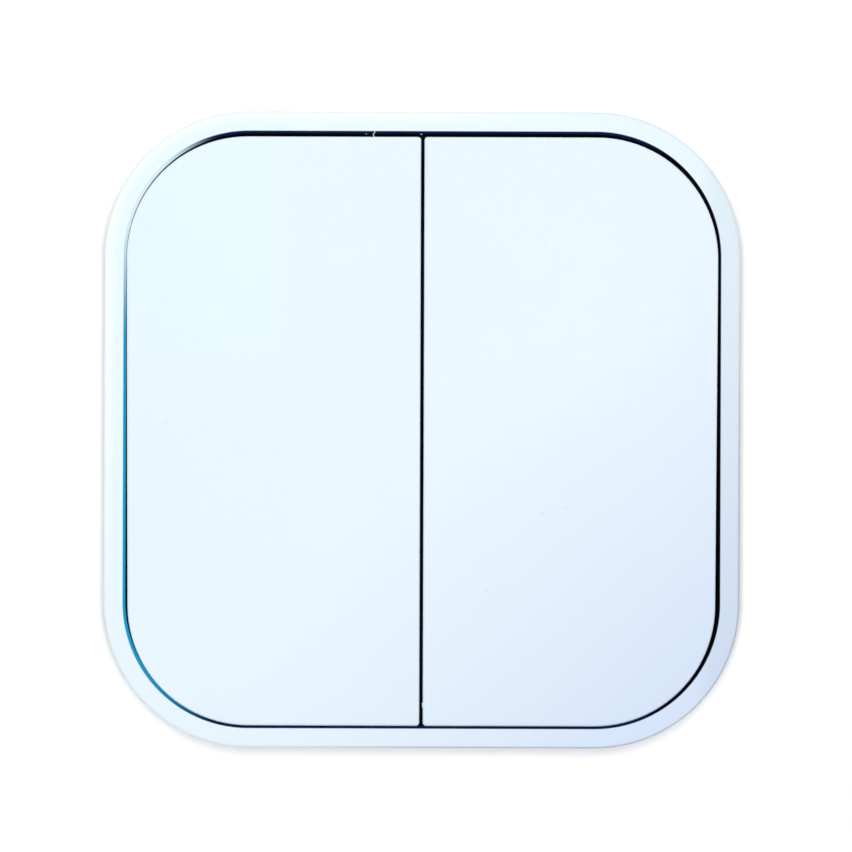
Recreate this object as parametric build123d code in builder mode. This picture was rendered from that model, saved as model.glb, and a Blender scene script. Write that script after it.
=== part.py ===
from build123d import *
import math
import os

# Double rocker light switch for a square recessed wall box, in millimetres.
# The wall is the plane y = 0, the switch faces -Y and +Z is up. A name that ends in _h is a
# height in front of the wall, negative inside the box. A name that ends in _d is a distance in
# front of the rockers' pivot axis, along the rockers' own face direction.

os.makedirs("parts", exist_ok=True)

# Cover frame
panel_w = 86.0
panel_corner_r = 19.6
panel_t = 9.0
rim_w = 2.7
rim_depth = 3.0
skirt_wall = 1.4
front_edge_r = 0.4
opening_edge = 0.1
lug_l = 8.0
lug_reach = 0.9
lug_t = 0.8
lug_pitch = 34.0
lug_play = 0.1

# Rockers
rest_tilt = 3.0
side_gap = 0.6
end_gap = 0.2
centre_gap = 0.45
rocker_rise = 1.6
rocker_t = 1.8
rocker_wall = 1.5
rocker_edge_r = 0.3
rocker_inner_corner_r = 0.45
skirt_clear = 0.35
rib_t = 1.0
rib_depth = 1.6
rib_margin = 1.5
rib_pitch = 22.0
clip_w = 8.0
clip_t = 1.2
clip_toe = 0.7
clip_toe_t = 0.9
clip_play = 0.05

# Mounting plate
mount_spacing = 60.3
slot_l = 7.0
slot_w = 4.0
slot_land = 1.45
plate_inset = 2.5
plate_t = 1.2
stake_r = 1.5
stake_play = 0.05
stake_inset = 8.0
stake_recess = 0.1

# Support frame
cover_play = 0.3
floor_t = 1.8
pivot_depth = 0.8
bearing_w = 1.8
bearing_gap = 0.3
bearing_half_z = 3.3
bearing_drop = 3.1
bearing_lead = 2.2
throat_w = 2.4
web_w = 7.8
window_half_z = 13.5
well_play = 1.7
well_w = 7.8
floor_rib_z = 17.0
floor_rib_t = 1.0
floor_rib_lead = 1.0
floor_rib_end = 2.0
loop_w = 9.0
loop_t = 1.4
loop_bar = 2.1
loop_play = 0.1

# Housing
housing_play = 0.2
housing_half_z = 22.0
housing_wall = 1.5
housing_back_wall = 1.8
housing_depth = 22.0
housing_corner_r = 3.0
housing_edge = 0.8
partition_t = 1.5
partition_gap = 0.3
catch_w = 5.0
catch_reach = 1.0
catch_front = 4.5
catch_back = 7.0
barrier_t = 1.2
wire_entry_w = 4.6
wire_entry_z = 3.4
wire_lead_in = 0.6

# Cradles, plungers and springs
side_play = 0.2
cradle_h = 24.0
cradle_t = 2.0
cradle_corner_r = 1.5
cheek_t = 1.6
cheek_r = 2.5
pin_r = 1.5
pin_play = 0.05
pin_end_play = 0.1
cradle_web_t = 1.2
tube_wall = 1.0
tube_reach = 7.0
bore_r = 2.3
bore_roof = 0.4
plunger_play = 0.05
plunger_l = 10.6
plunger_shoulder = 1.2
pocket_wall = 0.3
pocket_floor = 4.3
nose_r = 1.5
tip_gap = 0.12
wire_d = 0.45
wire_sides = 8
spring_turns = 7.0
spring_play = 0.05

# Contacts
knife_depth = 12.4
bridge_tilt = 6.5
bridge_rise = 0.37
bridge_t = 0.8
bridge_w = 5.0
waist_w = 3.4
waist_l = 2.6
notch_half = 0.45
notch_play = 0.05
knife_half_angle = 20.0
ear_t = 0.7
ear_play = 0.15
ear_lead = 1.2
blade_t = 1.0
tip_land = 3.4
tip_margin = 1.8
tip_head_r = 1.5
tip_head_t = 0.5
tip_dome_r = 3.0
tip_shank_r = 0.8
contact_air = 0.03
fixed_tip_r = 1.6
fixed_tip_t = 0.8
strip_t = 0.8
strip_w = 5.0
cage_w = 6.6
cage_z_size = 5.8
cage_wall = 0.9
cage_depth = 7.0
cage_play = 0.3
cage_offset = 5.2
foot_half = 1.5
run_w = 3.6
pad_l = 4.6
pad_run = 1.5
arm_w = 2.4
arm_end = 1.0
pedestal_rise = 1.6
screw_r = 1.7
screw_play = 0.05
screw_l = 2.4
screw_head_r = 2.4
screw_head_t = 1.5
screw_hole_play = 0.2
screw_slot_w = 0.8
screw_slot_depth = 0.8
clamp_t = 0.8
clamp_play = 0.2

# Heights and half-widths that follow from the sizes above
rim_back_h = panel_t - rim_depth
opening_w = panel_w - 2 * rim_w
opening_corner_r = panel_corner_r - rim_w
support_w = panel_w - 2 * (skirt_wall + cover_play)
support_corner_r = panel_corner_r - skirt_wall - cover_play
plate_w = panel_w - 2 * (skirt_wall + plate_inset)
plate_corner_r = panel_corner_r - skirt_wall - plate_inset
stake_pitch = plate_w - 2 * stake_inset
floor_h = plate_t + floor_t
pivot_h = floor_h - pivot_depth

window_half_w = mount_spacing / 2 - slot_l / 2 - slot_land
housing_half_w = window_half_w - housing_play
chamber_outer_x = housing_half_w - housing_wall
bearing_outer_x = chamber_outer_x - bearing_gap
window_outer_x = bearing_outer_x - bearing_w
window_inner_x = web_w / 2
cradle_inner_x = window_inner_x + side_play
cradle_outer_x = window_outer_x - side_play
cradle_w = cradle_outer_x - cradle_inner_x
mech_x = (cradle_inner_x + cradle_outer_x) / 2

loop_inner_z = housing_half_z + loop_play
loop_mid_z = loop_inner_z + loop_t / 2
window_half_h = loop_inner_z + loop_t + housing_play
catch_back_h = plate_t - catch_back
housing_back_h = -housing_depth
chamber_floor_h = housing_back_h + housing_back_wall
chamber_half_z = housing_half_z - housing_wall

tilt = math.radians(rest_tilt)
rocker_w = (opening_w - centre_gap) / 2 - side_gap
rocker_x = (centre_gap + rocker_w) / 2
rocker_corner_r = opening_corner_r - side_gap
rocker_face_d = panel_t + rocker_rise - pivot_h
rocker_back_d = rocker_face_d - rocker_t
# The pressed end swings out along the wall as it goes down, and there it clears the rim by end_gap
rocker_h = 2 * (opening_w / 2 - end_gap - rocker_face_d * math.sin(tilt)) / math.cos(tilt)
skirt_rise = floor_h + skirt_clear - pivot_h
rocker_skirt_d = (skirt_rise + rocker_h / 2 * math.sin(tilt)) / math.cos(tilt)
cradle_d = rocker_back_d - cradle_t

# Screw cages against the housing's top and bottom walls, and the fixed tips beside them
common_h = chamber_floor_h + pedestal_rise
cage_outer_z = chamber_half_z - cage_play
cage_z = cage_outer_z - cage_z_size / 2
cage_inner_z = cage_outer_z - cage_z_size
screw_h = chamber_floor_h + cage_depth / 2
fixed_z = cage_inner_z - pad_run - pad_l / 2
common_x = mech_x - cage_offset
lower_x = mech_x + cage_offset
terminals = ((mech_x, 1), (common_x, -1), (lower_x, -1))

# The knife edge, the bridge that tips over it and the tips that reach the fixed ones
knife_h = -knife_depth
swing = math.radians(bridge_tilt)
pad_top = bridge_t / 2 + bridge_rise
pad_bottom = bridge_rise - bridge_t / 2
dome_height = tip_dome_r - math.sqrt(tip_dome_r**2 - tip_head_r**2)
tip_apex = pad_bottom - tip_head_t - dome_height
dome_centre = tip_apex + tip_dome_r
tip_u = (fixed_z - dome_centre * math.sin(swing)) / math.cos(swing)
bridge_vee_half = tip_u - tip_land
bridge_half_l = tip_u + tip_margin
dome_centre_h = knife_h - tip_u * math.sin(swing) + dome_centre * math.cos(swing)
fixed_face_h = dome_centre_h - tip_dome_r - contact_air
ledge_h = fixed_face_h - fixed_tip_t - strip_t

# The plunger ends just short of the bridge when the rocker is half way
tip_d = knife_h + bridge_t / 2 + tip_gap - pivot_h
plunger_r = bore_r - plunger_play
pocket_r = plunger_r - pocket_wall
plunger_top_d = tip_d + plunger_l
pocket_floor_d = tip_d + pocket_floor
bore_roof_d = cradle_d + cradle_t - bore_roof
spring_r = pocket_r - spring_play - wire_d / 2
spring_low_d = pocket_floor_d + wire_d / 2
spring_high_d = bore_roof_d - wire_d / 2

# Directions of the rockers' own face and of the tipped bridge
face_out = Vector(0, -math.cos(tilt), -math.sin(tilt))
face_up = Vector(0, -math.sin(tilt), math.cos(tilt))
bridge_out = Vector(0, -math.cos(swing), math.sin(swing))
bridge_up = Vector(0, math.sin(swing), math.cos(swing))
out_axis = Axis((0, -pivot_h, 0), face_out)
wall_axis = Axis((0, 0, 0), (0, -1, 0))


def front(height):
    """Plane parallel to the wall at a height in front of it, with local axes X and Z."""
    return Plane.XZ.offset(height)


def section(x):
    """Upright plane across the switch at x, with local axes Z and height."""
    return Plane(origin=(x, 0, 0), x_dir=(0, 0, 1), z_dir=(1, 0, 0))


def rocker_front(distance):
    """Plane parallel to the rockers' face, a distance in front of the pivot axis."""
    return Plane(origin=(0, -pivot_h, 0), x_dir=(1, 0, 0), z_dir=face_out).offset(distance)


def rocker_section(x):
    """Upright plane at x that tilts with the rocker, from the pivot axis: local up and out."""
    return Plane(origin=(x, -pivot_h, 0), x_dir=face_up, z_dir=(1, 0, 0))


def bridge_front(distance):
    """Plane parallel to the bridge, a distance in front of the knife edge."""
    return Plane(origin=(mech_x, knife_depth, 0), x_dir=(1, 0, 0), z_dir=bridge_out).offset(distance)


def bridge_section(x):
    """Upright plane at x that tips with the bridge, from the knife edge: local up and out."""
    return Plane(origin=(x, knife_depth, 0), x_dir=bridge_up, z_dir=(1, 0, 0))


def finish(piece, name):
    """Label a finished piece and write its STEP file."""
    piece.part.label = name
    export_step(piece.part, f"parts/{name}.step")


# Cover frame: a rounded square skirt with a narrow rim, and lugs that snap behind the support
with BuildPart() as cover_frame:
    with BuildSketch(front(0)):
        RectangleRounded(panel_w, panel_w, panel_corner_r)
    extrude(amount=panel_t)
    fillet(cover_frame.faces().sort_by(wall_axis)[-1].edges(), radius=front_edge_r)
    with BuildSketch(front(0)):
        RectangleRounded(opening_w, opening_w, opening_corner_r)
    extrude(amount=panel_t, mode=Mode.SUBTRACT)
    opening_rim = cover_frame.faces().sort_by(wall_axis)[-1].inner_wires()[0]
    chamfer(opening_rim.edges(), length=opening_edge)
    with BuildSketch(front(0)):
        RectangleRounded(panel_w - 2 * skirt_wall, panel_w - 2 * skirt_wall, panel_corner_r - skirt_wall)
    extrude(amount=rim_back_h, mode=Mode.SUBTRACT)
    with BuildSketch(front(plate_t - lug_play - lug_t)):
        with PolarLocations(panel_w / 2 - skirt_wall - lug_reach / 2, 4):
            with GridLocations(0, lug_pitch, 1, 2):
                Rectangle(lug_reach, lug_l)
    extrude(amount=lug_t)
finish(cover_frame, "cover_frame")

# Mounting plate: pressed steel with a window for the housing and a slot at each side
with BuildPart() as mounting_plate:
    with BuildSketch(front(0)):
        RectangleRounded(plate_w, plate_w, plate_corner_r)
        RectangleRounded(2 * window_half_w, 2 * window_half_h, housing_corner_r, mode=Mode.SUBTRACT)
        with GridLocations(mount_spacing, 0, 2, 1):
            SlotOverall(slot_l, slot_w, mode=Mode.SUBTRACT)
        with GridLocations(stake_pitch, stake_pitch, 2, 2):
            Circle(stake_r + stake_play, mode=Mode.SUBTRACT)
    extrude(amount=plate_t)
finish(mounting_plate, "mounting_plate")

# Support frame: the moulded tray that the cover snaps over and the cradles turn in
with BuildPart() as support_frame:
    with BuildSketch(front(plate_t)):
        RectangleRounded(support_w, support_w, support_corner_r)
        with GridLocations(window_outer_x + window_inner_x, 0, 2, 1):
            Rectangle(window_outer_x - window_inner_x, 2 * window_half_z, mode=Mode.SUBTRACT)
        with GridLocations(mount_spacing, 0, 2, 1):
            SlotOverall(slot_l + 2 * well_play, well_w, mode=Mode.SUBTRACT)
    extrude(amount=floor_t)
    with BuildSketch(front(floor_h)):
        RectangleRounded(support_w, support_w, support_corner_r)
        RectangleRounded(opening_w, opening_w, opening_corner_r, mode=Mode.SUBTRACT)
    extrude(amount=rim_back_h - floor_h)
    with BuildSketch(front(floor_h)):
        with GridLocations(0, 2 * floor_rib_z, 1, 2):
            Rectangle(opening_w - 2 * floor_rib_end, floor_rib_t)
    extrude(amount=floor_rib_lead)
    # Forks that hold the cradles' pins, open to the front so that the cradles snap in
    with BuildSketch(front(pivot_h - bearing_drop)):
        Rectangle(web_w, 2 * bearing_half_z)
        with GridLocations(window_outer_x + bearing_outer_x, 0, 2, 1):
            Rectangle(bearing_w, 2 * bearing_half_z)
    extrude(amount=bearing_drop + bearing_lead)
    with BuildSketch(section(0)):
        with Locations((0, pivot_h)):
            Circle(pin_r + pin_play)
        with Locations((0, pivot_h + bearing_lead / 2)):
            Rectangle(throat_w, bearing_lead)
    extrude(amount=bearing_outer_x, both=True, mode=Mode.SUBTRACT)
    # Loops that clip over the housing's catches
    with BuildSketch(front(catch_back_h - loop_bar)):
        with GridLocations(2 * mech_x, 2 * loop_mid_z, 2, 2):
            Rectangle(loop_w, loop_t)
    extrude(amount=plate_t - catch_back_h + loop_bar)
    with BuildSketch(Plane.XY):
        with Locations((0, -(catch_back_h + plate_t - catch_front) / 2)):
            with GridLocations(2 * mech_x, 0, 2, 1):
                Rectangle(catch_w + 2 * loop_play, catch_back - catch_front + 2 * loop_play)
    extrude(amount=loop_inner_z + loop_t, both=True, mode=Mode.SUBTRACT)
    # Stakes that fill the steel plate's holes
    with BuildSketch(front(stake_recess)):
        with GridLocations(stake_pitch, stake_pitch, 2, 2):
            Circle(stake_r)
    extrude(amount=plate_t - stake_recess)
finish(support_frame, "support_frame")

# Outline of the right-hand rocker, and of the hollow behind its face
with BuildSketch() as rocker_outline:
    with Locations((rocker_x, 0)):
        Rectangle(rocker_w, rocker_h)
    fillet(rocker_outline.vertices().group_by(Axis.X)[-1], radius=rocker_corner_r)
    fillet(rocker_outline.vertices().group_by(Axis.X)[0], radius=rocker_inner_corner_r)
with BuildSketch() as rocker_hollow:
    with Locations((rocker_x, 0)):
        Rectangle(rocker_w - 2 * rocker_wall, rocker_h - 2 * rocker_wall)
    fillet(rocker_hollow.vertices().group_by(Axis.X)[-1], radius=rocker_corner_r - rocker_wall)

# Rocker: a flat cap with a short skirt, ribs under its face and clips for the cradle
with BuildPart() as rocker_right:
    with BuildSketch(rocker_front(rocker_skirt_d)):
        add(rocker_outline.sketch)
    extrude(amount=rocker_face_d - rocker_skirt_d)
    fillet(rocker_right.faces().sort_by(out_axis)[-1].edges(), radius=rocker_edge_r)
    with BuildSketch(rocker_front(rocker_skirt_d)):
        add(rocker_hollow.sketch)
    extrude(amount=rocker_back_d - rocker_skirt_d, mode=Mode.SUBTRACT)
    with BuildSketch(rocker_front(rocker_back_d - rib_depth)):
        with Locations((rocker_x, 0)):
            with GridLocations(0, rib_pitch, 1, 4):
                Rectangle(rocker_w, rib_t)
        with Locations((mech_x, 0)):
            with GridLocations(cradle_w + 2 * rib_margin + rib_t, 0, 2, 1):
                Rectangle(rib_t, rocker_h)
            Rectangle(cradle_w + 2 * rib_margin, cradle_h + 4 * clip_t, mode=Mode.SUBTRACT)
        add(rocker_hollow.sketch, mode=Mode.INTERSECT)
    extrude(amount=rib_depth)
    clip_inner = cradle_h / 2 + clip_play
    clip_outer = clip_inner + clip_t
    toe_d = cradle_d - clip_play
    with BuildSketch(rocker_section(mech_x)):
        with BuildLine():
            Polyline(
                (clip_outer, rocker_back_d),
                (clip_outer, toe_d - clip_toe_t),
                (clip_inner, toe_d - clip_toe_t),
                (clip_inner - clip_toe, toe_d - clip_toe_t / 3),
                (clip_inner - clip_toe, toe_d),
                (clip_inner, toe_d),
                (clip_inner, rocker_back_d),
                close=True,
            )
        make_face()
        mirror(about=Plane.YZ)
    extrude(amount=clip_w / 2, both=True)

# Cradle: carries the rocker, turns on two pins and holds the sprung plunger in its tube
with BuildPart() as cradle_right:
    with BuildSketch(rocker_front(cradle_d)):
        with Locations((mech_x, 0)):
            RectangleRounded(cradle_w, cradle_h, cradle_corner_r)
    extrude(amount=cradle_t)
    for cheek_x, inward in ((cradle_inner_x, 1), (cradle_outer_x, -1)):
        with BuildSketch(rocker_section(cheek_x)):
            Circle(cheek_r)
            with Locations((0, cradle_d / 2)):
                Rectangle(2 * cheek_r, cradle_d)
        extrude(amount=inward * cheek_t)
        with BuildSketch(rocker_section(cheek_x)):
            Circle(pin_r)
        extrude(amount=-inward * (bearing_w + side_play - pin_end_play))
    with BuildSketch(rocker_section(mech_x)):
        with Locations((0, cradle_d / 2)):
            Rectangle(cradle_web_t, cradle_d)
    extrude(amount=cradle_w / 2 - cheek_t, both=True)
    with BuildSketch(rocker_front(-tube_reach)):
        with Locations((mech_x, 0)):
            Circle(bore_r + tube_wall)
    extrude(amount=cradle_d + tube_reach)
    with BuildSketch(rocker_front(-tube_reach)):
        with Locations((mech_x, 0)):
            Circle(bore_r)
    extrude(amount=bore_roof_d + tube_reach, mode=Mode.SUBTRACT)

# Plunger: a hollow pin with a rounded nose that slides in the cradle's tube
with BuildPart() as plunger_right:
    with BuildSketch(rocker_section(mech_x)):
        with BuildLine():
            Polyline(
                (0, tip_d),
                (0, pocket_floor_d),
                (pocket_r, pocket_floor_d),
                (pocket_r, plunger_top_d),
                (plunger_r, plunger_top_d),
                (plunger_r, tip_d + nose_r + plunger_shoulder),
                (nose_r, tip_d + nose_r),
            )
            RadiusArc((nose_r, tip_d + nose_r), (0, tip_d), nose_r)
        make_face()
    revolve(axis=Axis((mech_x, -pivot_h, 0), face_out))

# Plunger spring: a wire helix from the floor of the plunger's pocket to the end of the bore
with BuildPart() as plunger_spring_right:
    with BuildLine() as coil:
        Helix(
            pitch=(spring_high_d - spring_low_d) / spring_turns,
            height=spring_high_d - spring_low_d,
            radius=spring_r,
            center=Vector(mech_x, -pivot_h, 0) + face_out * spring_low_d,
            direction=face_out,
        )
    with BuildSketch(Plane(origin=coil.line @ 0, z_dir=coil.line % 0)):
        RegularPolygon(wire_d / 2, wire_sides)
    sweep(is_frenet=True)

# Bridge: a copper strip bent to a shallow vee, with a notch for the knife edge and a waist
with BuildPart() as contact_bridge_right:
    with BuildSketch(bridge_section(mech_x)):
        with BuildLine():
            Polyline(
                (0, bridge_t / 2),
                (bridge_vee_half, pad_top),
                (bridge_half_l, pad_top),
                (bridge_half_l, pad_bottom),
                (bridge_vee_half, pad_bottom),
                (notch_half, -bridge_t / 2),
                (0, notch_play),
                close=True,
            )
        make_face()
        mirror(about=Plane.YZ)
    extrude(amount=bridge_w / 2, both=True)
    with BuildSketch(bridge_front(-bridge_t)):
        with GridLocations(bridge_w, 0, 2, 1):
            Rectangle(bridge_w - waist_w, waist_l)
        with GridLocations(0, 2 * tip_u, 1, 2):
            Circle(tip_shank_r)
    extrude(amount=3 * bridge_t, mode=Mode.SUBTRACT)

# Moving tips: domed rivets through the bridge's ends
with BuildPart() as moving_tips_right:
    with BuildSketch(bridge_section(mech_x)):
        with BuildLine():
            Polyline(
                (tip_u, tip_apex),
                (tip_u, pad_top),
                (tip_u + tip_shank_r, pad_top),
                (tip_u + tip_shank_r, pad_bottom),
                (tip_u + tip_head_r, pad_bottom),
                (tip_u + tip_head_r, pad_bottom - tip_head_t),
            )
            RadiusArc((tip_u + tip_head_r, pad_bottom - tip_head_t), (tip_u, tip_apex), tip_dome_r)
        make_face()
    tip_axis = Axis(Vector(mech_x, knife_depth, 0) + bridge_up * tip_u, bridge_out)
    revolve(axis=tip_axis)
    mirror(about=Plane(origin=(mech_x, knife_depth, 0), z_dir=bridge_up))

# Fixed tips: flat rivets in the upper and lower contacts
with BuildPart() as fixed_tips_right:
    with BuildSketch(front(ledge_h)):
        with Locations((mech_x, 0)):
            with GridLocations(0, 2 * fixed_z, 1, 2):
                Circle(tip_shank_r)
    extrude(amount=strip_t)
    with BuildSketch(front(ledge_h + strip_t)):
        with Locations((mech_x, 0)):
            with GridLocations(0, 2 * fixed_z, 1, 2):
                Circle(fixed_tip_r)
    extrude(amount=fixed_tip_t)


def screw_plane(x, end):
    """Plane on the outer wall of a screw cage at x, facing out of the top (1) or bottom (-1)."""
    return Plane(origin=(x, -screw_h, end * cage_outer_z), z_dir=(0, 0, end))


def fold_cage(x, end):
    """Add a folded screw cage to the contact being built, with a threaded hole outwards."""
    with BuildSketch(front(chamber_floor_h)) as walls:
        with Locations((x, end * cage_z)):
            Rectangle(cage_w, cage_z_size)
            Rectangle(cage_w - 2 * cage_wall, cage_z_size - 2 * cage_wall, mode=Mode.SUBTRACT)
    extrude(walls.sketch, amount=cage_depth)
    with BuildSketch(screw_plane(x, end)) as thread:
        Circle(screw_r + screw_play)
    extrude(thread.sketch, amount=-cage_wall, mode=Mode.SUBTRACT)


def tip_pad(end):
    """Add the flat pad that carries a fixed tip, with the tip's hole, to the contact being built."""
    with BuildSketch(front(ledge_h)) as pad:
        with Locations((mech_x, end * fixed_z)):
            Rectangle(strip_w, pad_l)
            Circle(tip_shank_r, mode=Mode.SUBTRACT)
    extrude(pad.sketch, amount=strip_t)


# Upper contact: the pad runs straight into its cage
with BuildPart() as upper_contact_right:
    fold_cage(mech_x, 1)
    tip_pad(1)
    with BuildSketch(front(ledge_h)):
        with Locations((mech_x, (fixed_z + pad_l / 2 + cage_inner_z) / 2)):
            Rectangle(strip_w, cage_inner_z - fixed_z - pad_l / 2)
    extrude(amount=strip_t)

# Lower contact: the pad turns outwards to a cage beside the common one
with BuildPart() as lower_contact_right:
    fold_cage(lower_x, -1)
    tip_pad(-1)
    with BuildSketch(front(ledge_h)):
        with Locations(((mech_x + lower_x + arm_end) / 2, arm_w / 2 - cage_inner_z)):
            Rectangle(lower_x + arm_end - mech_x, arm_w)
    extrude(amount=strip_t)

# Common contact: a foot with an upright knife edge and two ears, and a run to its cage
with BuildPart() as common_contact_right:
    fold_cage(common_x, -1)
    with BuildSketch(front(common_h)):
        with Locations(((common_x - run_w / 2 + mech_x + strip_w / 2) / 2, 0)):
            Rectangle(mech_x + strip_w / 2 - common_x + run_w / 2, 2 * foot_half)
        with Locations((common_x, -cage_inner_z / 2)):
            Rectangle(run_w, cage_inner_z)
    extrude(amount=strip_t)
    knife_shoulder_h = knife_h - blade_t / 2 / math.tan(math.radians(knife_half_angle))
    with BuildSketch(section(mech_x)):
        with BuildLine():
            Polyline(
                (-blade_t / 2, common_h),
                (-blade_t / 2, knife_shoulder_h),
                (0, knife_h),
                (blade_t / 2, knife_shoulder_h),
                (blade_t / 2, common_h),
                close=True,
            )
        make_face()
    extrude(amount=waist_w / 2 + ear_play, both=True)
    with BuildSketch(front(common_h)):
        with Locations((mech_x, 0)):
            with GridLocations(waist_w + 2 * ear_play + ear_t, 0, 2, 1):
                Rectangle(ear_t, blade_t)
    extrude(amount=knife_h + ear_lead - common_h)

# Housing: a deep moulded base with a chamber for each switch, open to the support frame
with BuildPart() as housing_base:
    with BuildSketch(front(housing_back_h)):
        RectangleRounded(2 * housing_half_w, 2 * housing_half_z, housing_corner_r)
    extrude(amount=plate_t - housing_back_h)
    chamfer(housing_base.faces().sort_by(wall_axis)[0].edges(), length=housing_edge)
    with BuildSketch(front(chamber_floor_h)):
        with GridLocations(chamber_outer_x + partition_t / 2, 0, 2, 1):
            Rectangle(chamber_outer_x - partition_t / 2, 2 * chamber_half_z)
    extrude(amount=plate_t - chamber_floor_h, mode=Mode.SUBTRACT)
    partition_h = pivot_h - bearing_drop - partition_gap
    with BuildSketch(front(partition_h)):
        Rectangle(partition_t, 2 * chamber_half_z)
    extrude(amount=plate_t - partition_h, mode=Mode.SUBTRACT)
    # Ledges under the tip pads and the foot, and a barrier between the two lower cages
    with BuildSketch(front(chamber_floor_h)):
        with GridLocations(2 * mech_x, 2 * fixed_z, 2, 2):
            Rectangle(strip_w, pad_l)
    extrude(amount=ledge_h - chamber_floor_h)
    with BuildSketch(front(chamber_floor_h)):
        with GridLocations(2 * mech_x, 0, 2, 1):
            Rectangle(strip_w, 2 * foot_half)
        with GridLocations(2 * common_x, 0, 2, 1):
            Rectangle(run_w, 2 * foot_half)
    extrude(amount=pedestal_rise)
    with BuildSketch(front(chamber_floor_h)):
        with Locations((0, -(cage_inner_z + chamber_half_z) / 2)):
            with GridLocations(2 * mech_x, 0, 2, 1):
                Rectangle(barrier_t, chamber_half_z - cage_inner_z)
    extrude(amount=ledge_h - chamber_floor_h)
    # Catches for the support frame's loops
    for side in (-1, 1):
        with BuildSketch(section(side * mech_x)):
            with BuildLine():
                Polyline(
                    (housing_half_z - housing_wall / 2, plate_t - catch_front),
                    (housing_half_z, plate_t - catch_front),
                    (housing_half_z + catch_reach, catch_back_h + loop_play),
                    (housing_half_z + catch_reach, catch_back_h),
                    (housing_half_z - housing_wall / 2, catch_back_h),
                    close=True,
                )
            make_face()
            mirror(about=Plane.YZ)
        extrude(amount=catch_w / 2, both=True)
    # Wire entries in the back and screw holes in the top and bottom walls
    with BuildSketch(front(housing_back_h)):
        for x, end in terminals:
            with Locations((x, end * cage_z), (-x, end * cage_z)):
                SlotOverall(wire_entry_w, wire_entry_z)
    extrude(amount=housing_back_wall, mode=Mode.SUBTRACT)
    back_face = housing_base.faces().sort_by(wall_axis)[0]
    chamfer(back_face.inner_wires().edges(), length=wire_lead_in)
    for x, end in terminals:
        for side in (-1, 1):
            with BuildSketch(screw_plane(side * x, end)):
                Circle(screw_head_r + screw_hole_play)
            extrude(amount=housing_wall + cage_play, mode=Mode.SUBTRACT)
finish(housing_base, "housing_base")

# Terminal screws: cheese heads in the housing's walls, threaded through the cages
with BuildPart() as terminal_screws:
    for x, end in terminals:
        for side in (-1, 1):
            seat = screw_plane(side * x, end)
            with BuildSketch(seat):
                Circle(screw_head_r)
            extrude(amount=screw_head_t)
            with BuildSketch(seat):
                Circle(screw_r)
            extrude(amount=-screw_l)
            with BuildSketch(seat.offset(screw_head_t - screw_slot_depth)):
                Rectangle(2 * screw_head_r, screw_slot_w)
            extrude(amount=screw_slot_depth, mode=Mode.SUBTRACT)
finish(terminal_screws, "terminal_screws")

# Clamp plates: the screws push these down on the wires inside the cages
with BuildPart() as clamp_plates:
    for x, end in terminals:
        for side in (-1, 1):
            with BuildSketch(screw_plane(side * x, end).offset(-screw_l)):
                Rectangle(cage_w - 2 * (cage_wall + clamp_play), cage_depth - 2 * cage_wall)
            extrude(amount=-clamp_t)
finish(clamp_plates, "clamp_plates")

# Each right-hand piece, and its mirror image on the left
pairs = {
    "rocker": rocker_right,
    "cradle": cradle_right,
    "plunger": plunger_right,
    "plunger_spring": plunger_spring_right,
    "contact_bridge": contact_bridge_right,
    "moving_tips": moving_tips_right,
    "fixed_tips": fixed_tips_right,
    "upper_contact": upper_contact_right,
    "lower_contact": lower_contact_right,
    "common_contact": common_contact_right,
}
for name, piece in pairs.items():
    with BuildPart() as twin:
        mirror(piece.part, about=Plane.YZ)
    finish(piece, f"{name}_right")
    finish(twin, f"{name}_left")
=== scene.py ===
"""Looks of the double light switch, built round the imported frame, in metres.

The switch faces -Y, +Z is up and the wall is the plane y = 0. The cover frame and both rockers are
polished white plastic, the tray behind them is dark, and the housing stands behind the wall.
"""
import logging
from dataclasses import dataclass
from enum import Enum

import bpy
import numpy as np
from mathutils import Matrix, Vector


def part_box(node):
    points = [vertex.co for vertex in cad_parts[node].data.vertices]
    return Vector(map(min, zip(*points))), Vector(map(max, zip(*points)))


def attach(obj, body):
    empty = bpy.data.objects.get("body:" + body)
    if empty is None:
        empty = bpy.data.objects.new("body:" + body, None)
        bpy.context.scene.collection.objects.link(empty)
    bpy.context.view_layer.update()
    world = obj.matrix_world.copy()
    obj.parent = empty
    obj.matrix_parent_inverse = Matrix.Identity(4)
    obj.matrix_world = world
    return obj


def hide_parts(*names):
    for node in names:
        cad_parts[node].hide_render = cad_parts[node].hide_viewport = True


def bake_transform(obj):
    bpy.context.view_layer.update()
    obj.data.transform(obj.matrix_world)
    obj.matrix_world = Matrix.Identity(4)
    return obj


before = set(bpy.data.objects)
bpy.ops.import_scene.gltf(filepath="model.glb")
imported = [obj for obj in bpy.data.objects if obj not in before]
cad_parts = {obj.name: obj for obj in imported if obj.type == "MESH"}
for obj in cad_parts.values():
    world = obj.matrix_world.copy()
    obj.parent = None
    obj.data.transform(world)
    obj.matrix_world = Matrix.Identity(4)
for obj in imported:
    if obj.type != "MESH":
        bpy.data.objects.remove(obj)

LOG = logging.getLogger("switch")

PHOTO_SIDE_PX = 852.0
PANEL_WIDTH_PX = 636.1
PANEL_CENTRE_PX = (421.9, 429.9)
PANEL_CORNER = 0.0196
MM_PER_M = 1000.0
BASE_BODY = "base"

Color = tuple[float, float, float]
Point = tuple[float, float, float]
Span = tuple[float, float]
Array = np.ndarray
Socket = bpy.types.NodeSocket
Value = Socket | float

RISE: Span = (0.0, 1.0)
FALL: Span = (1.0, 0.0)
NOISE_REACH: Span = (0.3, 0.7)
BLACK: Color = (0.0, 0.0, 0.0)
WHITE: Color = (1.0, 1.0, 1.0)


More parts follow.
